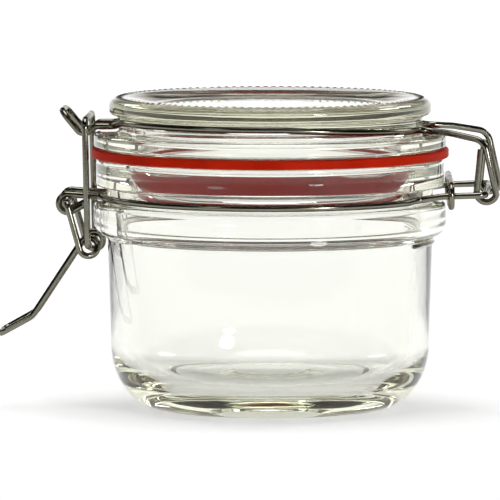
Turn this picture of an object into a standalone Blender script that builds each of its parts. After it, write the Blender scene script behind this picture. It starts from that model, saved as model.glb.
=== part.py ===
"""Clip top jar, empty and clamped shut, at its real size.

A pressed glass jar and lid with a rubber ring between them. Bent steel wires
carry everything that moves: the lid wire turns on the neck wire's axle, and
the closing loop on the lever pulls the lid's catch down. The origin is the
centre of the jar's base, +Z is up, the hinge is at +X and the latch at -X.
"""
import math

import bmesh
import bpy
from mathutils import Vector

MM = 0.001

# Driving dimensions in millimetres
WIRE_R = 0.9
GAP = 0.3
TURN_STEPS = 54

# Jar: foot, wall, the two flanges that hold the neck wire, and the mouth
FOOT_R = 30.0
PAD_R = 10.0
BASE_RISE = 1.0
CORNER_WIDE, CORNER_TALL = 14.2, 18.0
SHOULDER_R, SHOULDER_Z = 45.0, 43.0
LOWER_FLANGE_R = 48.9
LOWER_FLANGE_Z = (48.2, 57.6)
NECK_R = 45.3
NECK_WIRE_Z = 59.2
UPPER_FLANGE_R = 48.3
UPPER_FLANGE_Z = 62.2
RIM_Z = 69.7
RIM_ROUND = 1.5
MOUTH_R, MOUTH_ROUND = 39.25, 1.5
THROAT_BOW, THROAT_SLOPES = 53.0, (13.0, 24.7)
INNER_R = 42.1
FLOOR_R, FLOOR_Z, FLOOR_DOME = 29.2, 7.8, 0.5
LUG_Z, LUG_OUT, LUG_HALF_DEG = 46.6, 1.0, 26.0

# Rubber ring
RING_INNER_R, RING_OUTER_R = 40.4, 49.6
RING_THICK = 2.4
RING_Z = RIM_Z + GAP

# Lid
SEAT_Z = RING_Z + RING_THICK + GAP
LID_FLANGE_R = 48.9
LID_FLANGE_TOP = 77.0
LID_NECK_R = 42.3
LID_RIM_R = 44.7
LID_RIM_Z = 81.8
LID_TOP_Z = 86.5
RECESS_R, RECESS_Z = 31.0, 84.6
PLUG_R, PLUG_Z = 39.3, 71.1
LID_UNDER_Z = 79.2

# Wire frame: hinge axle, lever pivot and loop pivot, as (x, z)
AXLE = (60.3, 61.1)
LEVER_PIVOT = (-55.7, 57.7)
LOOP_PIVOT = (-49.7, 45.9)
COIL_R = 2.5
PIN_LIFT = 0.35
STRAND_Y = 21.0
EYE_Y = 8.0
ARM_Y = 12.3
COIL_SHIFT = 2.1
LEG_Y = 14.4
HANDLE_Y = 6.4

# Lid wire: its ring, catch tab and hinge hooks
LID_WIRE_R = 43.6
CATCH_Y = 8.3
CATCH_Z = 78.8
CATCH_DIP = 1.8
TAB_TIP = (-57.3, 82.9)
HINGE_LEAVE_Y, HINGE_Z = 10.5, 78.3
HOOK_Y = 18.3
HOOK_R = 2.75
HOOK_BEND = (59.9, 75.9)
STUB_TOP = (59.0, 73.6)

# Closing loop
BAR = (-50.5, 80.9)
PIN_END_Y = 8.4

# Lever handle, as (x, z)
HANDLE_BEND = (-65.6, 25.9)
HANDLE_TIP = (-74.6, 20.9)

# Tie ring round the two neck strands
TIE_X, TIE_Z, TIE_SLANT = 49.9, 60.8, 1.2
TIE_HALF_Y, TIE_R = 23.2, 3.0


def clear_scene():
    for obj in list(bpy.data.objects):
        bpy.data.objects.remove(obj, do_unlink=True)


def material(name, colour, roughness, metallic=0.0, transmission=0.0):
    mat = bpy.data.materials.new(name)
    mat.use_nodes = True
    shader = mat.node_tree.nodes["Principled BSDF"]
    shader.inputs["Base Color"].default_value = (*colour, 1.0)
    shader.inputs["Roughness"].default_value = roughness
    shader.inputs["Metallic"].default_value = metallic
    shader.inputs["Transmission Weight"].default_value = transmission
    return mat


def joint_empty(name, x, z):
    empty = bpy.data.objects.new(name, None)
    empty.location = (x * MM, 0.0, z * MM)
    bpy.context.collection.objects.link(empty)
    return empty


def place(obj, mat, axis=None):
    """Link a piece and parent it to the empty on its joint's axis."""
    obj.data.materials.append(mat)
    bpy.context.collection.objects.link(obj)
    if axis is not None:
        obj.parent = axis
        obj.location = -axis.location
    return obj


def bow(centre, radius, start, end, steps):
    """Points (r, z) of an arc or quarter ellipse; angles in degrees from +r."""
    wide, tall = radius if isinstance(radius, tuple) else (radius, radius)
    points = []
    for step in range(steps + 1):
        angle = math.radians(start + (end - start) * step / steps)
        points.append((centre[0] + wide * math.cos(angle),
                       centre[1] + tall * math.sin(angle)))
    return points


def turned(name, outline, shape=None):
    """Spin an outline of (r, z) points in mm about the jar's axis."""
    bm = bmesh.new()
    verts = [bm.verts.new((r * MM, 0.0, z * MM)) for r, z in outline]
    edges = [bm.edges.new(pair) for pair in zip(verts, verts[1:])]
    if outline[0][0] > 0.0:
        edges.append(bm.edges.new((verts[-1], verts[0])))
    bmesh.ops.spin(bm, geom=verts + edges, cent=(0, 0, 0), axis=(0, 0, 1),
                   angle=math.tau, steps=TURN_STEPS, use_merge=True)
    bmesh.ops.remove_doubles(bm, verts=bm.verts, dist=1e-6)
    if shape is not None:
        shape(bm)
    bmesh.ops.recalc_face_normals(bm, faces=bm.faces)
    mesh = bpy.data.meshes.new(name)
    bm.to_mesh(mesh)
    bm.free()
    mesh.shade_smooth()
    mesh.set_sharp_from_angle(angle=math.radians(40))
    return bpy.data.objects.new(name, mesh)


def jar_outline():
    """Base centre, foot, corner, wall, flanges, rim, mouth and inner floor."""
    low, high = LOWER_FLANGE_Z
    foot = [(0, 0), (PAD_R, 0), (PAD_R + 1.2, BASE_RISE),
            (FOOT_R - 3.0, BASE_RISE), (FOOT_R - 1.8, 0)]
    corner = bow((FOOT_R, CORNER_TALL), (CORNER_WIDE, CORNER_TALL), -90, 0, 7)
    wall = [(SHOULDER_R - 0.4, 31.0), (SHOULDER_R, SHOULDER_Z)]
    wall += [(SHOULDER_R + 0.05, LUG_Z + step) for step in (-1.2, -0.5, 0.5, 1.2)]
    flange = bow((LOWER_FLANGE_R - 3.4, low + 3.9), (3.4, 3.9), -80, 0, 3)
    flange += bow((LOWER_FLANGE_R - 1.4, high - 1.4), 1.4, 0, 90, 2)
    neck = [(NECK_R + 0.6, high + 0.1), (NECK_R, high + 0.9),
            (NECK_R, UPPER_FLANGE_Z - 0.6), (NECK_R + 0.8, UPPER_FLANGE_Z)]
    flange_top = bow((UPPER_FLANGE_R - 0.5, UPPER_FLANGE_Z + 0.5), 0.5, -75, 0, 2)
    rim = bow((UPPER_FLANGE_R - RIM_ROUND, RIM_Z - RIM_ROUND), RIM_ROUND, 0, 90, 3)
    mouth = bow((MOUTH_R + MOUTH_ROUND, RIM_Z - MOUTH_ROUND), MOUTH_ROUND, 90, 170, 2)
    inside = throat() + [(INNER_R, 48.5), (INNER_R - 1.5, 35.0), (FLOOR_R + 10.2, 23.0)]
    inner = bow((FLOOR_R, FLOOR_Z + 10.0), 10.0, 0, -90, 4)
    floor = [(17.0, FLOOR_Z + 0.6 * FLOOR_DOME), (0, FLOOR_Z + FLOOR_DOME)]
    return (foot + corner + wall + flange + neck + flange_top + rim + mouth
            + inside + inner + floor)


def throat():
    """Inner neck wall, which leans out more the lower it gets."""
    first, last = THROAT_SLOPES
    centre = (MOUTH_R + THROAT_BOW * math.cos(math.radians(first)),
              RIM_Z - MOUTH_ROUND + THROAT_BOW * math.sin(math.radians(first)))
    return bow(centre, THROAT_BOW, 180 + first, 180 + last, 2)


def raise_lug(bm):
    """Push out the stop rib that the glass has below its lower flange."""
    for vert in bm.verts:
        x, y, z = (value / MM for value in vert.co)
        turn = abs(math.degrees(math.atan2(y, x)))
        if abs(z - LUG_Z) < 1.0 and turn < LUG_HALF_DEG and math.hypot(x, y) > SHOULDER_R - 1:
            out = LUG_OUT * min(1.0, (LUG_HALF_DEG - turn) / 5.0)
            grow = 1.0 + out / math.hypot(x, y)
            vert.co.x *= grow
            vert.co.y *= grow


def lid_outline():
    """Recessed top, rim, wire groove, flange, seat, plug and hollow underside."""
    top = [(0, RECESS_Z), (RECESS_R, RECESS_Z), (RECESS_R + 2.5, RECESS_Z + 0.4),
           (RECESS_R + 7.0, LID_TOP_Z - 0.5), (RECESS_R + 9.0, LID_TOP_Z)]
    rim = bow((LID_RIM_R - 2.2, LID_TOP_Z - 2.2), 2.2, 80, 0, 3)
    rim += bow((LID_RIM_R - 1.3, LID_RIM_Z + 1.1), (1.3, 1.1), -25, -75, 1)
    groove = [(LID_NECK_R, LID_RIM_Z - 0.5), (LID_NECK_R, LID_FLANGE_TOP + 0.4),
              (LID_NECK_R + 0.5, LID_FLANGE_TOP)]
    flange = bow((LID_FLANGE_R - 1.6, LID_FLANGE_TOP - 1.6), 1.6, 90, 0, 3)
    flange += bow((LID_FLANGE_R - 0.8, SEAT_Z + 0.8), 0.8, 0, -90, 2)
    plug = [(PLUG_R + 1.4, SEAT_Z), (PLUG_R + 0.2, SEAT_Z - 0.6), (PLUG_R - 0.6, PLUG_Z),
            (PLUG_R - 1.8, PLUG_Z), (PLUG_R - 2.7, PLUG_Z + 0.8)]
    under = [(PLUG_R - 2.8, LID_UNDER_Z - 0.8), (PLUG_R - 3.6, LID_UNDER_Z),
             (0, LID_UNDER_Z + 0.3)]
    return top + rim + groove + flange + plug + under


def ring_outline():
    """Rubber ring with eased edges."""
    low, high, ease = RING_Z, RING_Z + RING_THICK, 0.5
    return [(RING_INNER_R, low), (RING_OUTER_R - ease, low), (RING_OUTER_R, low + ease),
            (RING_OUTER_R, high - ease), (RING_OUTER_R - ease, high), (RING_INNER_R, high)]


def bent(corners, step_deg=24.0):
    """Round a wire's corners, given as (point, bend radius) pairs."""
    points = [Vector(corners[0][0])]
    for (last, _), (corner, radius), (after, _) in zip(corners, corners[1:], corners[2:]):
        corner = Vector(corner)
        into = (corner - Vector(last)).normalized()
        out = (Vector(after) - corner).normalized()
        turn = into.angle(out)
        if radius == 0 or turn < 0.02:
            points.append(corner)
            continue
        start = corner - into * radius * math.tan(turn / 2)
        side = (out - into * out.dot(into)).normalized()
        steps = max(1, round(math.degrees(turn) / step_deg))
        for step in range(steps + 1):
            angle = turn * step / steps
            points.append(start + into * radius * math.sin(angle)
                          + side * radius * (1 - math.cos(angle)))
    points.append(Vector(corners[-1][0]))
    return points


def circle_part(radius, start, end, height, steps):
    """Points on a level circle round the jar; height is a value or a rule of x."""
    points = []
    for step in range(steps + 1):
        angle = math.radians(start + (end - start) * step / steps)
        x = radius * math.cos(angle)
        z = height(x) if callable(height) else height
        points.append((x, radius * math.sin(angle), z))
    return points


def mirrored(points):
    """A wire whose second half repeats the first on the other side of y = 0."""
    return points + [Vector((p.x, -p.y, p.z)) for p in reversed(points)]


def wire(name, points, mat, axis=None, cyclic=False):
    curve = bpy.data.curves.new(name, "CURVE")
    curve.dimensions = "3D"
    curve.bevel_depth = WIRE_R * MM
    curve.bevel_resolution = 2
    curve.use_fill_caps = not cyclic
    curve.render_resolution_u = 0
    spline = curve.splines.new("POLY")
    spline.points.add(len(points) - 1)
    for slot, point in zip(spline.points, points):
        slot.co = (*(Vector(point) * MM), 1.0)
    spline.use_cyclic_u = cyclic
    spline.use_smooth = True
    return place(bpy.data.objects.new(name, curve), mat, axis)


def neck_wire_path():
    """Eye at the latch, half the neck groove, one strand and half the axle."""
    eye_x, eye_z = LEVER_PIVOT[0], LEVER_PIVOT[1] - PIN_LIFT
    ring_r = NECK_R + 1.3
    tail = math.radians(298)
    tail_at = Vector((eye_x + COIL_R * math.cos(tail), -EYE_Y, eye_z + COIL_R * math.sin(tail)))
    tail_end = tail_at + 3.6 * Vector((-math.sin(tail), 0, math.cos(tail)))
    eye = [Vector((x, -EYE_Y, z)) for x, z in bow((eye_x, eye_z), COIL_R, 298, 90, 9)]
    join_x = -math.sqrt(ring_r ** 2 - EYE_Y ** 2)
    leave_x = math.sqrt(ring_r ** 2 - STRAND_Y ** 2)
    groove = circle_part(ring_r, 196, 326, NECK_WIRE_Z, 17)
    route = [(eye[-1], 0), ((join_x, -EYE_Y, NECK_WIRE_Z), 2.5)]
    route += [(point, 0) for point in groove]
    route += [((leave_x, -STRAND_Y, NECK_WIRE_Z + 0.4), 3.0),
              ((leave_x + 7, -STRAND_Y, AXLE[1] - 0.4), 8.0),
              ((AXLE[0], -STRAND_Y, AXLE[1]), 2.0), ((AXLE[0], 0, AXLE[1]), 0)]
    return mirrored([tail_end] + eye[:-1] + bent(route)[:-1])


def lid_wire_height(x):
    """The ring hangs a little lower at the hinge than across the lid."""
    return min(80.4, HINGE_Z + 0.055 * (LID_WIRE_R - x))


def lid_wire_path():
    """Catch tab at the latch, half the ring round the lid, and one hinge hook."""
    join_x = -math.sqrt(LID_WIRE_R ** 2 - CATCH_Y ** 2)
    leave_x = math.sqrt(LID_WIRE_R ** 2 - HINGE_LEAVE_Y ** 2)
    ring = circle_part(LID_WIRE_R, 204, 338, lid_wire_height, 17)
    hook_x, hook_z = AXLE[0] + 0.3, AXLE[1] - 2 * WIRE_R - GAP + HOOK_R
    route = [((TAB_TIP[0], 0, TAB_TIP[1]), 0), ((TAB_TIP[0], -CATCH_Y, TAB_TIP[1]), 3.2),
             ((BAR[0] - 1.9, -CATCH_Y, CATCH_Z - CATCH_DIP), 1.4),
             ((BAR[0] + 0.3, -CATCH_Y, CATCH_Z - CATCH_DIP), 0.8),
             ((BAR[0] + 2.6, -CATCH_Y, CATCH_Z), 1.2), ((join_x, -CATCH_Y, CATCH_Z), 2.5)]
    route += [(point, 0) for point in ring]
    route += [((leave_x, -HINGE_LEAVE_Y, HINGE_Z), 3.5),
              ((leave_x + 8, -HINGE_LEAVE_Y - 3.6, HINGE_Z - 0.6), 12.0),
              ((HOOK_BEND[0], -HOOK_Y, HOOK_BEND[1]), 4.2),
              ((hook_x + HOOK_R, -HOOK_Y, hook_z), 0)]
    hook = [Vector((x, -HOOK_Y, z)) for x, z in bow((hook_x, hook_z), HOOK_R, -15, -180, 7)]
    stub = [Vector((STUB_TOP[0], -HOOK_Y, STUB_TOP[1]))]
    half = bent(route)[:-1] + hook + stub
    return [Vector((p.x, -p.y, p.z)) for p in reversed(half[1:])] + half


def lever_path():
    """Pivot pin through an eye, arm, coil round the loop's pin, and handle leg."""
    coil = (LOOP_PIVOT[0], LOOP_PIVOT[1] - PIN_LIFT)
    pin_z = LEVER_PIVOT[1]
    turns = bow(coil, COIL_R, 198, 505, 14)
    ring = []
    for step, (x, z) in enumerate(turns):
        share = min(1.0, max(0.0, (step - 3) / 5))
        ring.append(Vector((x, -ARM_Y + COIL_SHIFT * share, z)))
    start = [((LEVER_PIVOT[0], -EYE_Y + 3.0, pin_z), 0),
             ((LEVER_PIVOT[0], -ARM_Y, pin_z), 1.6), (ring[0], 0)]
    end = [(ring[-1], 0), ((HANDLE_BEND[0], -HANDLE_Y - 1.0, HANDLE_BEND[1]), 6.0),
           ((HANDLE_TIP[0], -HANDLE_Y, HANDLE_TIP[1]), 2.2),
           ((HANDLE_TIP[0], 0, HANDLE_TIP[1]), 0)]
    return mirrored(bent(start)[:-1] + ring[:-1] + bent(end)[:-1])


def loop_path():
    """Pin through a coil, leg, and half the bar that lies on the catch."""
    pin_x, pin_z = LOOP_PIVOT
    route = [((pin_x, -PIN_END_Y, pin_z), 0), ((pin_x, -LEG_Y, pin_z), 1.4),
             ((BAR[0], -LEG_Y, BAR[1]), 2.4), ((BAR[0], 0, BAR[1]), 0)]
    return mirrored(bent(route)[:-1])


def tie_ring_path():
    """Closed oval round both strands, a little askew as a loose ring sits."""
    points = []
    for side in (1, -1):
        for y, z in bow((side * (TIE_HALF_Y - TIE_R), TIE_Z), TIE_R, 90, -90, 7):
            y = side * (abs(y - side * (TIE_HALF_Y - TIE_R)) + TIE_HALF_Y - TIE_R)
            z = TIE_Z + side * (z - TIE_Z)
            points.append(Vector((TIE_X - TIE_SLANT * y / TIE_HALF_Y, y, z)))
    return points


def main():
    clear_scene()
    glass = material("clear_glass", (0.93, 0.96, 0.94), 0.03, transmission=1.0)
    rubber = material("orange_rubber", (0.66, 0.06, 0.01), 0.45)
    steel = material("steel_wire", (0.62, 0.60, 0.56), 0.2, metallic=1.0)

    place(turned("jar_glass", jar_outline(), raise_lug), glass)
    wire("neck_wire", neck_wire_path(), steel)
    wire("tie_ring", tie_ring_path(), steel, cyclic=True)

    hinge = joint_empty("lid_hinge_axis", *AXLE)
    place(turned("lid_glass", lid_outline()), glass, hinge)
    place(turned("gasket", ring_outline()), rubber, hinge)
    wire("lid_wire", lid_wire_path(), steel, hinge)

    pivot = joint_empty("lever_pivot_axis", *LEVER_PIVOT)
    wire("lever", lever_path(), steel, pivot)
    loop_axis = joint_empty("loop_pivot_axis", *LOOP_PIVOT)
    wire("closing_loop", loop_path(), steel, loop_axis)


main()
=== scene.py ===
"""Looks of the clip top jar: clear pressed glass, an orange rubber ring and bent steel wire."""

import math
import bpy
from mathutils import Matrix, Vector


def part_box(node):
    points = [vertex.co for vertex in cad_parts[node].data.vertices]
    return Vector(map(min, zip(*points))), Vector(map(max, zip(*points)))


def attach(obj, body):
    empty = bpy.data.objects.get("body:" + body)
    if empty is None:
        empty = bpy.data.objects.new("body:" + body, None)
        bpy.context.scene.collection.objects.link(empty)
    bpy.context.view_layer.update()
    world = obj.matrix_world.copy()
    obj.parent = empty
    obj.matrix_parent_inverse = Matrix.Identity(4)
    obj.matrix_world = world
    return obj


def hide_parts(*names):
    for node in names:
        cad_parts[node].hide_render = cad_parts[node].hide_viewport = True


bl_info = {
    "name": "Clip Top Jar",
    "version": (1, 0, 0),
    "blender": (4, 5, 0),
    "location": "View3D > Sidebar > Clip Jar",
    "description": "Models a low glass jar with a clamped glass lid, and its studio",
    "category": "Add Mesh",
}

import bpy
from mathutils import Vector
from bpy.props import FloatProperty, FloatVectorProperty, IntProperty, PointerProperty

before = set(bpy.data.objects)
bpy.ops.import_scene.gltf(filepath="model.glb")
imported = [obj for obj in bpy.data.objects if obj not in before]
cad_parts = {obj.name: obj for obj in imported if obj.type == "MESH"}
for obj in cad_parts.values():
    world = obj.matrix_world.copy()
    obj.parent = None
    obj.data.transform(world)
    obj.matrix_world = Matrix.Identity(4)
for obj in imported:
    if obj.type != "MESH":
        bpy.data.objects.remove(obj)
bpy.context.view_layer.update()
MM = 0.001

JAR_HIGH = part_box("jar_glass")[1].z / MM
RING_LOW, RING_HIGH = (corner.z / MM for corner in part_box("gasket"))
RING_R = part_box("gasket")[1].x / MM
LID_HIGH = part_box("lid_glass")[1].z / MM

# Wire frame, in millimetres: pivots as (x, z), and the coils round their pins
AXLE = (60.3, 61.1)
LEVER_PIVOT = (-55.7, 57.7)
LOOP_PIVOT = (-49.7, 45.9)
COIL_R, PIN_LIFT = 2.5, 0.35

# Jar, in millimetres: wall, the two flanges that hold the neck wire, mouth and stop rib
WALL_R, SHOULDER_Z = 45.0, 43.0
LOWER_FLANGE_R, UPPER_FLANGE_R = 48.9, 48.3
EDGE_ROUND, RIM_ROUND = 1.4, 1.5
THROAT_CENTRE, THROAT_BOW, THROAT_SLOPES = (90.9, 80.1), 53.0, (13.0, 24.7)
LUG_Z, LUG_HIGH, LUG_OUT = 46.6, 0.6, 0.8
LUG_HALF_DEG, LUG_EASE_DEG = 26.0, 4.0

# Lid, in millimetres: recessed top, rim dots, flange, plug and hollow underside
RECESS_Z, DOT_R, DOT_HALF = 84.6, 41.9, 0.9
LID_FLANGE_R, LID_FLANGE_Z, SEAT_Z = 48.9, 77.0, 72.7
PLUG_R, PLUG_Z, UNDER_Z = 39.3, 71.1, 79.2

# Finishes
GLASS_IOR, GLASS_DENSITY = 1.5, 13.0
STAIN = (0.17, 0.15, 0.105, 1.0)
STEEL_EDGE = (0.58, 0.57, 0.52, 1.0)


class ClipJarSizes(bpy.types.PropertyGroup):
    """Sizes that a maker would change, in millimetres unless they say otherwise."""
    wire_radius: FloatProperty(name="Wire radius", default=0.9, min=0.5, max=1.2,
                               description="Half the diameter of every steel wire, in mm")
    dots: IntProperty(name="Rim dots", default=118, min=60, max=160,
                      description="Number of pressed dots round the lid's top rim")
    dot_height: FloatProperty(name="Dot height", default=0.3, min=0.0, max=0.8,
                              description="How far each rim dot stands up, in mm")
    ripple: FloatProperty(name="Glass ripple", default=0.04, min=0.0, max=0.3,
                          description="Depth of the uneven surface of pressed glass, in mm")


class ClipJarColours(bpy.types.PropertyGroup):
    """Finishes of glass, rubber and steel."""
    glass: FloatVectorProperty(name="Glass", subtype="COLOR", size=3, default=(0.975, 0.98, 0.96),
                               description="Tint of the glass surface")
    glass_depth: FloatVectorProperty(name="Glass depth", subtype="COLOR", size=3,
                                     default=(0.80, 0.82, 0.58),
                                     description="Colour that thick glass takes on")
    rubber: FloatVectorProperty(name="Rubber", subtype="COLOR", size=3, default=(0.40, 0.012, 0.001),
                                description="Colour of the sealing ring")
    steel: FloatVectorProperty(name="Steel", subtype="COLOR", size=3, default=(0.215, 0.21, 0.17),
                               description="Colour of the bent wire")


class ClipJarStudio(bpy.types.PropertyGroup):
    """Camera and light."""
    azimuth: FloatProperty(name="Azimuth", default=math.radians(3.0), subtype="ANGLE",
                           description="Camera turn about the jar, towards the hinge")
    elevation: FloatProperty(name="Elevation", default=math.radians(5.0), subtype="ANGLE",
                             description="Camera height above the horizon")
    distance: FloatProperty(name="Distance", default=2.5, subtype="DISTANCE", unit="LENGTH",
                            description="Camera distance from the jar")
    key_power: FloatProperty(name="Key power", default=108.0, unit="POWER",
                             description="Power of the overhead softbox")
    side_power: FloatProperty(name="Side power", default=16.0, unit="POWER",
                              description="Power of each softbox round the jar")


def deselect_all():
    if bpy.context.object and bpy.context.object.mode != "OBJECT":
        bpy.ops.object.mode_set(mode="OBJECT")
    bpy.ops.object.select_all(action="DESELECT")


def bow(centre, radius, start, end, steps):
    """Points (r, z) of an arc or quarter ellipse; angles in degrees from +r."""
    wide, tall = radius if isinstance(radius, tuple) else (radius, radius)
    points = []
    for step in range(steps + 1):
        angle = math.radians(start + (end - start) * step / steps)
        points.append((centre[0] + wide * math.cos(angle), centre[1] + tall * math.sin(angle)))
    return points


def lathe(name, outline, sides, hollow=False):
    """Model a turned body: one circle, extruded ring by ring along its outline."""
    deselect_all()
    (radius, height), *rest = outline
    bpy.ops.mesh.primitive_circle_add(vertices=sides, radius=radius * MM, fill_type="NOTHING",
                                      location=(0, 0, height * MM))
    piece = bpy.context.object
    piece.name = piece.data.name = name
    bpy.ops.object.transform_apply(location=True, rotation=True, scale=True)
    bpy.ops.object.mode_set(mode="EDIT")
    bpy.ops.mesh.select_all(action="SELECT")
    for r, z in rest:
        rise = {"value": (0, 0, (z - height) * MM)}
        bpy.ops.mesh.extrude_edges_move(TRANSFORM_OT_translate=rise)
        grow = r / radius
        bpy.ops.transform.resize(value=(grow, grow, 1), center_override=(0, 0, 0))
        radius, height = r, z
    if hollow:
        bpy.ops.mesh.select_all(action="DESELECT")
        bpy.ops.mesh.select_non_manifold()
        bpy.ops.mesh.bridge_edge_loops()
    else:
        bpy.ops.mesh.edge_face_add()
        bpy.ops.mesh.poke()
        bpy.ops.mesh.select_all(action="DESELECT")
        bpy.ops.mesh.select_non_manifold()
        bpy.ops.mesh.edge_face_add()
        bpy.ops.mesh.poke()
    bpy.ops.mesh.select_all(action="SELECT")
    bpy.ops.mesh.normals_make_consistent(inside=False)
    bpy.ops.object.mode_set(mode="OBJECT")
    bpy.ops.object.shade_smooth_by_angle(angle=math.radians(50))
    return piece


def ripple_surface(piece, depth, scale):
    """Make pressed glass or moulded rubber slightly uneven, with an applied Displace modifier."""
    pattern = bpy.data.textures.new(piece.name + "_ripple", "CLOUDS")
    pattern.noise_scale = scale * MM
    pattern.noise_depth = 1
    ripple = piece.modifiers.new("ripple", "DISPLACE")
    ripple.texture = pattern
    ripple.texture_coords = "LOCAL"
    ripple.mid_level = 0.5
    ripple.strength = depth * MM
    bpy.ops.object.modifier_apply(modifier=ripple.name)


def bent(corners, step_deg=7.5):
    """Round a wire's corners, given as (point, bend radius) pairs."""
    points = [Vector(corners[0][0])]
    for (last, _), (corner, radius), (after, _) in zip(corners, corners[1:], corners[2:]):
        corner = Vector(corner)
        into = (corner - Vector(last)).normalized()
        out = (Vector(after) - corner).normalized()
        turn = into.angle(out)
        if radius == 0 or turn < 0.02:
            points.append(corner)
            continue
        start = corner - into * radius * math.tan(turn / 2)
        side = (out - into * out.dot(into)).normalized()
        steps = max(1, round(math.degrees(turn) / step_deg))
        for step in range(steps + 1):
            angle = turn * step / steps
            points.append(start + into * radius * math.sin(angle)
                          + side * radius * (1 - math.cos(angle)))
    points.append(Vector(corners[-1][0]))
    return points


def circle_part(radius, start, end, height, steps):
    """Points on a level circle round the jar; height is a value or a rule of x."""
    points = []
    for step in range(steps + 1):
        angle = math.radians(start + (end - start) * step / steps)
        x = radius * math.cos(angle)
        z = height(x) if callable(height) else height
        points.append((x, radius * math.sin(angle), z))
    return points


def mirrored(points):
    """A wire whose second half repeats the first on the other side of y = 0."""
    return points + [Vector((p.x, -p.y, p.z)) for p in reversed(points)]


def bend_wire(name, points, radius, cyclic=False):
    """Turn a wire's route into round wire with eased cut ends."""
    deselect_all()
    bpy.ops.curve.primitive_bezier_curve_add(location=(0, 0, 0))
    piece = bpy.context.object
    curve = piece.data
    curve.splines.clear()
    spline = curve.splines.new("POLY")
    spline.points.add(len(points) - 1)
    for place, point in zip(spline.points, points):
        place.co = (*(Vector(point) * MM), 1.0)
    spline.use_cyclic_u = cyclic
    curve.dimensions = "3D"
    curve.bevel_depth = radius * MM
    curve.bevel_resolution = 6
    curve.use_fill_caps = not cyclic
    bpy.ops.object.convert(target="MESH")
    piece = bpy.context.object
    piece.name = piece.data.name = name
    bpy.ops.object.mode_set(mode="EDIT")
    bpy.ops.mesh.select_all(action="SELECT")
    bpy.ops.mesh.remove_doubles(threshold=1e-6)
    bpy.ops.mesh.normals_make_consistent(inside=False)
    if not cyclic:
        bpy.ops.mesh.select_all(action="DESELECT")
        bpy.ops.mesh.select_face_by_sides(number=4, type="GREATER")
        bpy.ops.mesh.region_to_loop()
        bpy.ops.mesh.bevel(offset=0.22 * MM, segments=3)
    bpy.ops.object.mode_set(mode="OBJECT")
    bpy.ops.object.shade_smooth_by_angle(angle=math.radians(50))
    return piece


def shader_of(mat):
    mat.use_nodes = True
    return mat.node_tree.nodes["Principled BSDF"]


def noise(tree, scale, detail, squash=(1, 1, 1)):
    """Noise on Object coordinates; squash stretches it along an axis."""
    where = tree.nodes.new("ShaderNodeTexCoord")
    mapping = tree.nodes.new("ShaderNodeMapping")
    mapping.inputs["Scale"].default_value = squash
    pattern = tree.nodes.new("ShaderNodeTexNoise")
    pattern.inputs["Scale"].default_value = scale
    pattern.inputs["Detail"].default_value = detail
    tree.links.new(where.outputs["Object"], mapping.inputs["Vector"])
    tree.links.new(mapping.outputs["Vector"], pattern.inputs["Vector"])
    return pattern


def spread(tree, source, low, high, start=0.3, end=0.7):
    """Map a pattern's middle range, or a stretch of a coordinate, to a range of values."""
    fit = tree.nodes.new("ShaderNodeMapRange")
    fit.inputs["From Min"].default_value = start
    fit.inputs["From Max"].default_value = end
    fit.inputs["To Min"].default_value = low
    fit.inputs["To Max"].default_value = high
    tree.links.new(source, fit.inputs["Value"])
    return fit.outputs["Result"]


def bump(tree, shader, source, depth):
    relief = tree.nodes.new("ShaderNodeBump")
    relief.inputs["Distance"].default_value = depth * MM
    tree.links.new(source, relief.inputs["Height"])
    tree.links.new(relief.outputs["Normal"], shader.inputs["Normal"])


def pressed_glass(name, colours):
    """Clear soda-lime glass, yellowish green where it is thick."""
    mat = bpy.data.materials.new(name)
    shader = shader_of(mat)
    tree = mat.node_tree
    shader.inputs["Base Color"].default_value = (*colours.glass, 1.0)
    shader.inputs["Transmission Weight"].default_value = 1.0
    shader.inputs["IOR"].default_value = GLASS_IOR
    shader.inputs["Specular IOR Level"].default_value = 0.25
    shader.inputs["Roughness"].default_value = 0.0
    orange_peel = noise(tree, 260.0, 1.0)
    bump(tree, shader, orange_peel.outputs["Fac"], 0.005)
    depth = tree.nodes.new("ShaderNodeVolumeAbsorption")
    depth.inputs["Color"].default_value = (*colours.glass_depth, 1.0)
    depth.inputs["Density"].default_value = GLASS_DENSITY
    output = tree.nodes["Material Output"]
    tree.links.new(depth.outputs["Volume"], output.inputs["Volume"])
    return mat


def moulded_rubber(colours):
    """Matte orange-red rubber with a finely rough skin and slight clouding."""
    mat = bpy.data.materials.new("moulded_rubber")
    shader = shader_of(mat)
    tree = mat.node_tree
    cloud = noise(tree, 90.0, 4.0)
    tint = tree.nodes.new("ShaderNodeMix")
    tint.data_type = "RGBA"
    tint.inputs["A"].default_value = (*colours.rubber, 1.0)
    tint.inputs["B"].default_value = (*(min(1.0, c * 1.3 + 0.004) for c in colours.rubber), 1.0)
    tree.links.new(spread(tree, cloud.outputs["Fac"], 0.0, 1.0), tint.inputs["Factor"])
    tree.links.new(tint.outputs["Result"], shader.inputs["Base Color"])
    tree.links.new(spread(tree, cloud.outputs["Fac"], 0.38, 0.55), shader.inputs["Roughness"])
    shader.inputs["Specular IOR Level"].default_value = 0.02
    shader.inputs["Subsurface Weight"].default_value = 0.25
    shader.inputs["Subsurface Radius"].default_value = (0.003, 0.0006, 0.0002)
    skin = noise(tree, 1400.0, 2.0)
    bump(tree, shader, skin.outputs["Fac"], 0.03)
    return mat


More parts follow.
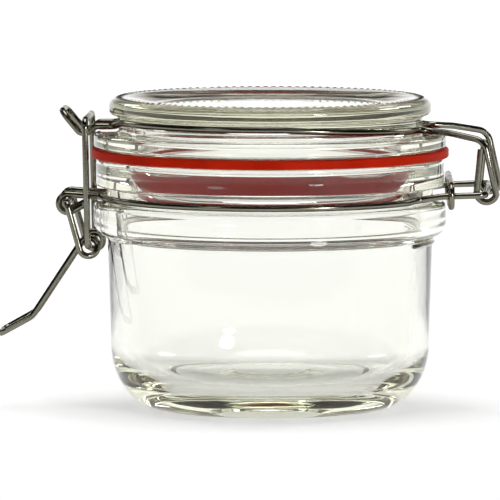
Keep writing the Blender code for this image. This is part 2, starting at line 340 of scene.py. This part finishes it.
def drawn_steel(colours):
    """Drawn wire, olive grey, with faint stains and fine draw marks."""
    mat = bpy.data.materials.new("drawn_steel")
    shader = shader_of(mat)
    tree = mat.node_tree
    stain = noise(tree, 160.0, 5.0)
    tint = tree.nodes.new("ShaderNodeMix")
    tint.data_type = "RGBA"
    tint.inputs["A"].default_value = (*colours.steel, 1.0)
    tint.inputs["B"].default_value = STAIN
    tree.links.new(spread(tree, stain.outputs["Fac"], 0.0, 0.8, 0.5, 0.75), tint.inputs["Factor"])
    tree.links.new(tint.outputs["Result"], shader.inputs["Base Color"])
    shader.inputs["Metallic"].default_value = 1.0
    shader.inputs["Specular Tint"].default_value = STEEL_EDGE
    tree.links.new(spread(tree, stain.outputs["Fac"], 0.12, 0.26), shader.inputs["Roughness"])
    marks = noise(tree, 900.0, 3.0)
    bump(tree, shader, marks.outputs["Fac"], 0.02)
    return mat


def finish_piece(piece, node, body, mat):
    """Hand a finished piece to the frame."""
    piece.data.materials.clear()
    piece.data.materials.append(mat)
    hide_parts(node)
    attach(piece, body)


def jar_outline():
    """Base pad, foot, corner, wall, flanges, rim, mouth and inner floor, as (r, z).

    A ring just inside each rounded edge keeps the shading of the flat faces flat.
    """
    foot = [(2.0, 0), (10.0, 0), (10.7, 0.2), (11.2, 0.9), (12.0, 1.0),
            (26.6, 1.0), (27.4, 0.85), (28.2, 0.15), (28.7, 0)]
    corner = bow((30.0, 18.0), (14.2, 18.0), -90, 0, 28)
    wall = [(44.35, 25.0), (44.6, 31.0), (44.8, 37.0), (WALL_R, SHOULDER_Z)]
    wall += [(WALL_R + 0.05, LUG_Z + LUG_HIGH * step / 4) for step in range(-5, 6)]
    flange = bow((LOWER_FLANGE_R - 3.4, 52.1), (3.4, 3.9), -80, 0, 14)
    flange += [(LOWER_FLANGE_R, 52.4), (LOWER_FLANGE_R, 56.0)]
    flange += bow((LOWER_FLANGE_R - EDGE_ROUND, 56.2), EDGE_ROUND, 0, 90, 10)
    neck = bow((46.0, 58.6), (0.7, 0.9), -90, -180, 5)
    neck += bow((46.1, 61.4), (0.8, 0.8), 180, 90, 5)
    flange_top = bow((UPPER_FLANGE_R - 0.5, 62.7), 0.5, -75, 0, 5)
    rim = [(UPPER_FLANGE_R, 62.9), (UPPER_FLANGE_R, 65.5), (UPPER_FLANGE_R, 68.0)]
    rim += bow((UPPER_FLANGE_R - RIM_ROUND, JAR_HIGH - RIM_ROUND), RIM_ROUND, 0, 90, 10)
    mouth = [(42.6, JAR_HIGH)] + bow((40.75, JAR_HIGH - RIM_ROUND), RIM_ROUND, 90, 170, 7)
    first, last = THROAT_SLOPES
    throat = bow(THROAT_CENTRE, THROAT_BOW, 180 + first, 180 + last, 14)
    inside = [(42.85, 56.6), (42.5, 53.5), (42.1, 48.5), (41.4, 42.5), (40.6, 35.0), (39.9, 28.5),
              (39.4, 23.0)]
    inner = bow((29.2, 17.8), (10.0, 10.0), 0, -90, 22)
    floor = [(24.0, 7.9), (17.0, 8.1), (10.0, 8.25), (2.0, 8.3)]
    inner_side = mouth + throat + inside + inner + floor
    return foot + corner + wall + flange + neck + flange_top + rim + inner_side


def raise_lug(piece):
    """Pull out the stop rib below the lower flange, on the hinge side."""
    for vert in piece.data.vertices:
        x, y, z = (value / MM for value in vert.co)
        radius = math.hypot(x, y)
        turn = abs(math.degrees(math.atan2(y, x)))
        rise = 1.0 - ((z - LUG_Z) / LUG_HIGH) ** 2
        if rise > 0 and turn < LUG_HALF_DEG and radius > WALL_R - 1.5:
            ease = min(1.0, (LUG_HALF_DEG - turn) / LUG_EASE_DEG)
            grow = 1.0 + LUG_OUT * math.sqrt(rise) * ease * (2.0 - ease) / radius
            vert.co.x *= grow
            vert.co.y *= grow


def lid_outline():
    """Recessed top, rim, wire groove, flange, seat, plug and underside, as (r, z)."""
    top = [(2.0, RECESS_Z), (13.7, RECESS_Z), (14.0, RECESS_Z), (14.8, RECESS_Z + 0.12),
           (15.6, RECESS_Z), (15.9, RECESS_Z), (30.0, RECESS_Z), (31.2, RECESS_Z + 0.02),
           (32.4, 84.75), (33.5, 85.0), (35.0, 85.4), (36.5, 85.75), (38.0, 86.05), (39.2, 86.3)]
    dots = [(40.4, LID_HIGH - 0.06), (41.2, LID_HIGH), (DOT_R, LID_HIGH), (42.6, LID_HIGH)]
    rim = bow((42.5, LID_HIGH - 2.2), 2.2, 76, 0, 10)
    rim += bow((43.4, 82.9), (1.3, 1.1), 0, -75, 6)
    groove = bow((43.0, 81.1), 0.7, 100, 180, 4)
    groove += bow((43.1, LID_FLANGE_Z + 0.8), 0.8, 180, 270, 5)
    flange = [(45.0, LID_FLANGE_Z), (47.0, LID_FLANGE_Z)]
    flange += bow((LID_FLANGE_R - 1.6, LID_FLANGE_Z - 1.6), 1.6, 90, 0, 14)
    flange += [(LID_FLANGE_R, LID_FLANGE_Z - 1.8), (LID_FLANGE_R, SEAT_Z + 1.0)]
    flange += bow((LID_FLANGE_R - 0.8, SEAT_Z + 0.8), 0.8, 0, -90, 8)
    plug = [(45.0, SEAT_Z), (41.2, SEAT_Z)]
    plug += bow((PLUG_R + 0.9, SEAT_Z - 0.6), (0.7, 0.6), 90, 180, 4)[1:]
    plug += [(PLUG_R, PLUG_Z + 0.15), (PLUG_R - 0.5, PLUG_Z), (PLUG_R - 1.7, PLUG_Z),
             (PLUG_R - 2.3, PLUG_Z + 0.2), (PLUG_R - 2.7, PLUG_Z + 0.7)]
    under = [(PLUG_R - 2.71, PLUG_Z + 1.0), (PLUG_R - 2.8, UNDER_Z - 1.0)]
    under += bow((PLUG_R - 3.6, UNDER_Z - 0.8), 0.8, 0, 90, 8)
    under += [(PLUG_R - 3.9, UNDER_Z), (26.2, UNDER_Z + 0.05), (14.0, UNDER_Z + 0.2),
              (2.0, UNDER_Z + 0.3)]
    return top + dots + rim + groove + flange + plug + under


def press_dots(piece, dots, height):
    """Raise the ring of small pressed dots on the rim, by each vertex's angle."""
    for vert in piece.data.vertices:
        x, y, z = (value / MM for value in vert.co)
        radius = math.hypot(x, y)
        across = 1.0 - abs(radius - DOT_R) / DOT_HALF
        if z > LID_HIGH - 0.4 and across > 0:
            phase = math.atan2(y, x) * dots
            vert.co.z += height * MM * across * max(0.0, math.cos(phase))


def gasket_outline():
    """Flat ring with eased edges and a shallow groove in its outer edge."""
    low, high, ease = RING_LOW, RING_HIGH, 0.5
    outer = bow((RING_R - ease, low + ease), ease, -90, 0, 5)
    outer += [(RING_R - 0.05, (low + high) / 2)]
    outer += bow((RING_R - ease, high - ease), ease, 0, 90, 5)
    inner = bow((40.7, high - 0.3), 0.3, 90, 180, 3) + bow((40.7, low + 0.3), 0.3, 180, 270, 3)
    return outer + inner


def neck_wire_path():
    """Eye at the latch, half the neck groove, one strand and half the axle."""
    eye = (LEVER_PIVOT[0], LEVER_PIVOT[1] - PIN_LIFT)
    ring_r, eye_y, strand_y, height = 46.6, 8.0, 21.0, 59.2
    tail = math.radians(298)
    tail_at = Vector((eye[0] + COIL_R * math.cos(tail), -eye_y, eye[1] + COIL_R * math.sin(tail)))
    tail_end = tail_at + 3.6 * Vector((-math.sin(tail), 0, math.cos(tail)))
    loop = [Vector((x, -eye_y, z)) for x, z in bow(eye, COIL_R, 298, 90, 32)]
    join_x = -math.sqrt(ring_r ** 2 - eye_y ** 2)
    leave_x = math.sqrt(ring_r ** 2 - strand_y ** 2)
    route = [(loop[-1], 0), ((join_x, -eye_y, height), 2.5)]
    route += [(point, 0) for point in circle_part(ring_r, 196, 326, height, 52)]
    route += [((leave_x, -strand_y, height + 0.4), 3.0),
              ((leave_x + 7, -strand_y, AXLE[1] - 0.4), 8.0),
              ((AXLE[0], -strand_y, AXLE[1]), 2.0), ((AXLE[0], 0, AXLE[1]), 0)]
    return mirrored([tail_end] + loop[:-1] + bent(route)[:-1])


def lid_wire_path():
    """Catch tab at the latch, half the ring round the lid, and one hinge hook."""
    ring_r, catch_y, catch_z, dip, leave_y, hinge_z = 43.6, 8.3, 78.8, 1.8, 10.5, 78.3
    hook_y, hook_r, bar_x = 18.3, 2.75, -50.5
    join_x = -math.sqrt(ring_r ** 2 - catch_y ** 2)
    leave_x = math.sqrt(ring_r ** 2 - leave_y ** 2)
    ring = circle_part(ring_r, 204, 338,
                       lambda x: min(80.4, hinge_z + 0.055 * (ring_r - x)), 52)
    hook = (AXLE[0] + 0.3, AXLE[1] - 2.1 + hook_r)
    route = [((-57.3, 0, 82.9), 0), ((-57.3, -catch_y, 82.9), 3.2),
             ((bar_x - 1.9, -catch_y, catch_z - dip), 1.4),
             ((bar_x + 0.3, -catch_y, catch_z - dip), 0.8),
             ((bar_x + 2.6, -catch_y, catch_z), 1.2), ((join_x, -catch_y, catch_z), 2.5)]
    route += [(point, 0) for point in ring]
    route += [((leave_x, -leave_y, hinge_z), 3.5), ((leave_x + 8, -leave_y - 3.6, hinge_z - 0.6), 12.0),
              ((59.9, -hook_y, 75.9), 4.2), ((hook[0] + hook_r, -hook_y, hook[1]), 0)]
    turn = [Vector((x, -hook_y, z)) for x, z in bow(hook, hook_r, -15, -180, 24)]
    half = bent(route)[:-1] + turn + [Vector((59.0, -hook_y, 73.6))]
    return [Vector((p.x, -p.y, p.z)) for p in reversed(half[1:])] + half


def lever_path():
    """Pivot pin through an eye, arm, coil round the loop's pin, and handle leg."""
    arm_y, shift, pin_z, handle_y = 12.3, 2.1, LEVER_PIVOT[1], 6.4
    coil = (LOOP_PIVOT[0], LOOP_PIVOT[1] - PIN_LIFT)
    turns = bow(coil, COIL_R, 198, 505, 42)
    ring = []
    for step, (x, z) in enumerate(turns):
        share = min(1.0, max(0.0, (step - 9) / 15))
        ring.append(Vector((x, -arm_y + shift * share, z)))
    start = [((LEVER_PIVOT[0], -5.0, pin_z), 0), ((LEVER_PIVOT[0], -arm_y, pin_z), 1.6),
             (ring[0], 0)]
    end = [(ring[-1], 0), ((-65.6, -handle_y - 1.0, 25.9), 6.0),
           ((-74.6, -handle_y, 20.9), 2.2), ((-74.6, 0, 20.9), 0)]
    return mirrored(bent(start)[:-1] + ring[:-1] + bent(end)[:-1])


def loop_path():
    """Pin through a coil, leg, and half the bar that lies on the catch."""
    pin_x, pin_z = LOOP_PIVOT
    route = [((pin_x, -8.4, pin_z), 0), ((pin_x, -14.4, pin_z), 1.4),
             ((-50.5, -14.4, 80.9), 2.4), ((-50.5, 0, 80.9), 0)]
    return mirrored(bent(route)[:-1])


def tie_ring_path():
    """Closed oval round both strands, a little askew as a loose ring sits."""
    half_y, ring_r, centre = 23.2, 3.0, (49.9, 60.8)
    points = []
    for side in (1, -1):
        for out, up in bow((half_y - ring_r, 0), ring_r, 90, -90, 20):
            y = side * out
            points.append(Vector((centre[0] - 1.2 * y / half_y, y, centre[1] + side * up)))
    return points


class CLIPJAR_OT_jar(bpy.types.Operator):
    """Model the glass jar with its foot, flanges, wire groove and mouth"""
    bl_idname = "clipjar.jar"
    bl_label = "Jar Glass"

    def execute(self, context):
        sizes, colours = context.scene.clipjar_sizes, context.scene.clipjar_colours
        jar = lathe("jar", jar_outline(), 240)
        raise_lug(jar)
        ripple_surface(jar, sizes.ripple, 16.0)
        finish_piece(jar, "jar_glass", "jar", pressed_glass("jar_glass_clear", colours))
        return {"FINISHED"}


class CLIPJAR_OT_lid(bpy.types.Operator):
    """Model the glass lid with its recess, dotted rim, groove and plug"""
    bl_idname = "clipjar.lid"
    bl_label = "Lid Glass"

    def execute(self, context):
        sizes, colours = context.scene.clipjar_sizes, context.scene.clipjar_colours
        lid = lathe("lid", lid_outline(), sizes.dots * 6)
        ripple_surface(lid, sizes.ripple * 0.7, 14.0)
        press_dots(lid, sizes.dots, sizes.dot_height)
        finish_piece(lid, "lid_glass", "lid", pressed_glass("lid_glass_clear", colours))
        return {"FINISHED"}


class CLIPJAR_OT_rubber_ring(bpy.types.Operator):
    """Model the rubber sealing ring"""
    bl_idname = "clipjar.rubber_ring"
    bl_label = "Rubber Ring"

    def execute(self, context):
        ring = lathe("rubber_ring", gasket_outline(), 240, hollow=True)
        ripple_surface(ring, 0.15, 20.0)
        finish_piece(ring, "gasket", "lid", moulded_rubber(context.scene.clipjar_colours))
        return {"FINISHED"}


class CLIPJAR_OT_wires(bpy.types.Operator):
    """Bend the neck wire, tie ring, lid wire, lever and closing loop"""
    bl_idname = "clipjar.wires"
    bl_label = "Wire Frame"

    def execute(self, context):
        radius = context.scene.clipjar_sizes.wire_radius
        steel = drawn_steel(context.scene.clipjar_colours)
        wires = (("neck_clip", neck_wire_path(), "neck_wire", "jar", False),
                 ("strand_ring", tie_ring_path(), "tie_ring", "jar", True),
                 ("lid_clip", lid_wire_path(), "lid_wire", "lid", False),
                 ("clamp_lever", lever_path(), "lever", "lever", False),
                 ("clamp_loop", loop_path(), "closing_loop", "loop", False))
        for name, path, node, body, cyclic in wires:
            finish_piece(bend_wire(name, path, radius, cyclic), node, body, steel)
        return {"FINISHED"}


class CLIPJAR_OT_studio(bpy.types.Operator):
    """Set up the pale floor, soft lights and camera"""
    bl_idname = "clipjar.studio"
    bl_label = "Studio"

    def execute(self, context):
        studio = context.scene.clipjar_studio
        deselect_all()
        self.add_floor()
        for place, size, power in ((Vector((0, 0, 4.5)), 3.2, studio.key_power),
                                   (Vector((-2.2, -2.6, 1.7)), 0.9, studio.side_power * 0.4),
                                   (Vector((2.0, -2.5, 0.6)), 0.7, studio.side_power * 2.5),
                                   (Vector((-2.3, 2.5, 1.9)), 0.9, studio.side_power),
                                   (Vector((2.5, 2.3, 1.9)), 0.9, studio.side_power)):
            self.add_softbox(place, size, power)
        self.add_sky(context)
        self.add_camera(context, studio)
        context.scene.view_settings.view_transform = "Standard"
        context.scene.cycles.max_bounces = 40
        context.scene.cycles.transmission_bounces = 40
        context.scene.cycles.glossy_bounces = 16
        return {"FINISHED"}

    def add_floor(self):
        """Pale floor, grey far in front, that glows more behind the jar, where the key light fades."""
        bpy.ops.mesh.primitive_circle_add(vertices=128, radius=7.0, fill_type="NGON")
        floor = bpy.context.object
        floor.name = "studio_floor"
        white = bpy.data.materials.new("pale_floor")
        paint = shader_of(white)
        tree = white.node_tree
        paint.inputs["Roughness"].default_value = 0.9
        where = tree.nodes.new("ShaderNodeTexCoord")
        split = tree.nodes.new("ShaderNodeSeparateXYZ")
        tree.links.new(where.outputs["Object"], split.inputs["Vector"])
        glow = spread(tree, split.outputs["Y"], 0.47, 1.12, -0.2, 6.5)
        tree.links.new(glow, paint.inputs["Emission Strength"])
        grey = spread(tree, split.outputs["Y"], 0.3, 0.88, -1.05, -0.65)
        tree.links.new(grey, paint.inputs["Base Color"])
        tree.links.new(grey, paint.inputs["Emission Color"])
        floor.data.materials.append(white)

    def add_softbox(self, place, size, power):
        bpy.ops.object.light_add(type="AREA", location=place)
        box = bpy.context.object
        box.rotation_euler = (-place).to_track_quat("-Z", "Y").to_euler()
        box.data.shape = "DISK"
        box.data.size = size
        box.data.energy = power

    def add_sky(self, context):
        """Surroundings: bright behind the jar near the horizon, dim above and in front."""
        world = bpy.data.worlds.new("studio_air")
        world.use_nodes = True
        tree = world.node_tree
        where = tree.nodes.new("ShaderNodeTexCoord")
        split = tree.nodes.new("ShaderNodeSeparateXYZ")
        tree.links.new(where.outputs["Generated"], split.inputs["Vector"])
        tree.nodes["Background"].inputs["Color"].default_value = (1.0, 1.0, 1.0, 1.0)
        height = spread(tree, split.outputs["Z"], 1.3, 0.03, 0.09, 0.27)
        side = spread(tree, split.outputs["Y"], 0.04, 1.0, -0.1, 0.6)
        level = tree.nodes.new("ShaderNodeMath")
        level.operation = "MULTIPLY"
        tree.links.new(height, level.inputs[0])
        tree.links.new(side, level.inputs[1])
        tree.links.new(level.outputs["Value"], tree.nodes["Background"].inputs["Strength"])
        context.scene.world = world

    def add_camera(self, context, studio):
        """Long lens at the photo's angle; 3.6 px per mm, jar axis 20 px right of the middle."""
        pixels_per_mm, axis_shift_px, middle_z = 3.6, 20.0, 43.9
        turn, up = studio.azimuth, studio.elevation
        right = Vector((math.cos(turn), math.sin(turn), 0))
        back = Vector((math.sin(turn) * math.cos(up), -math.cos(turn) * math.cos(up), math.sin(up)))
        aim = Vector((0, 0, middle_z * MM)) - right * (axis_shift_px / pixels_per_mm * MM)
        bpy.ops.object.camera_add(location=aim + back * studio.distance)
        camera = context.object
        camera.rotation_euler = (-back).to_track_quat("-Z", "Y").to_euler()
        camera.data.sensor_width = 36.0
        camera.data.lens = 36.0 * studio.distance / MM * pixels_per_mm / 500
        camera.data.clip_end = 20.0
        context.scene.camera = camera


class CLIPJAR_PT_panel(bpy.types.Panel):
    """Steps that build the jar, in order"""
    bl_idname = "CLIPJAR_PT_panel"
    bl_label = "Clip Top Jar"
    bl_space_type = "VIEW_3D"
    bl_region_type = "UI"
    bl_category = "Clip Jar"

    def draw(self, context):
        for step in ("jar", "lid", "rubber_ring", "wires", "studio"):
            self.layout.operator("clipjar." + step)
        for group in (context.scene.clipjar_sizes, context.scene.clipjar_colours,
                      context.scene.clipjar_studio):
            for name in group.bl_rna.properties.keys():
                if name not in ("rna_type", "name"):
                    self.layout.prop(group, name)


CLASSES = (ClipJarSizes, ClipJarColours, ClipJarStudio, CLIPJAR_OT_jar, CLIPJAR_OT_lid,
           CLIPJAR_OT_rubber_ring, CLIPJAR_OT_wires, CLIPJAR_OT_studio, CLIPJAR_PT_panel)


def register():
    for cls in CLASSES:
        bpy.utils.register_class(cls)
    bpy.types.Scene.clipjar_sizes = PointerProperty(type=ClipJarSizes)
    bpy.types.Scene.clipjar_colours = PointerProperty(type=ClipJarColours)
    bpy.types.Scene.clipjar_studio = PointerProperty(type=ClipJarStudio)


def unregister():
    del bpy.types.Scene.clipjar_studio
    del bpy.types.Scene.clipjar_colours
    del bpy.types.Scene.clipjar_sizes
    for cls in reversed(CLASSES):
        bpy.utils.unregister_class(cls)


def main():
    register()
    bpy.ops.clipjar.jar()
    bpy.ops.clipjar.lid()
    bpy.ops.clipjar.rubber_ring()
    bpy.ops.clipjar.wires()
    bpy.ops.clipjar.studio()
    deselect_all()


if __name__ == "__main__":
    main()
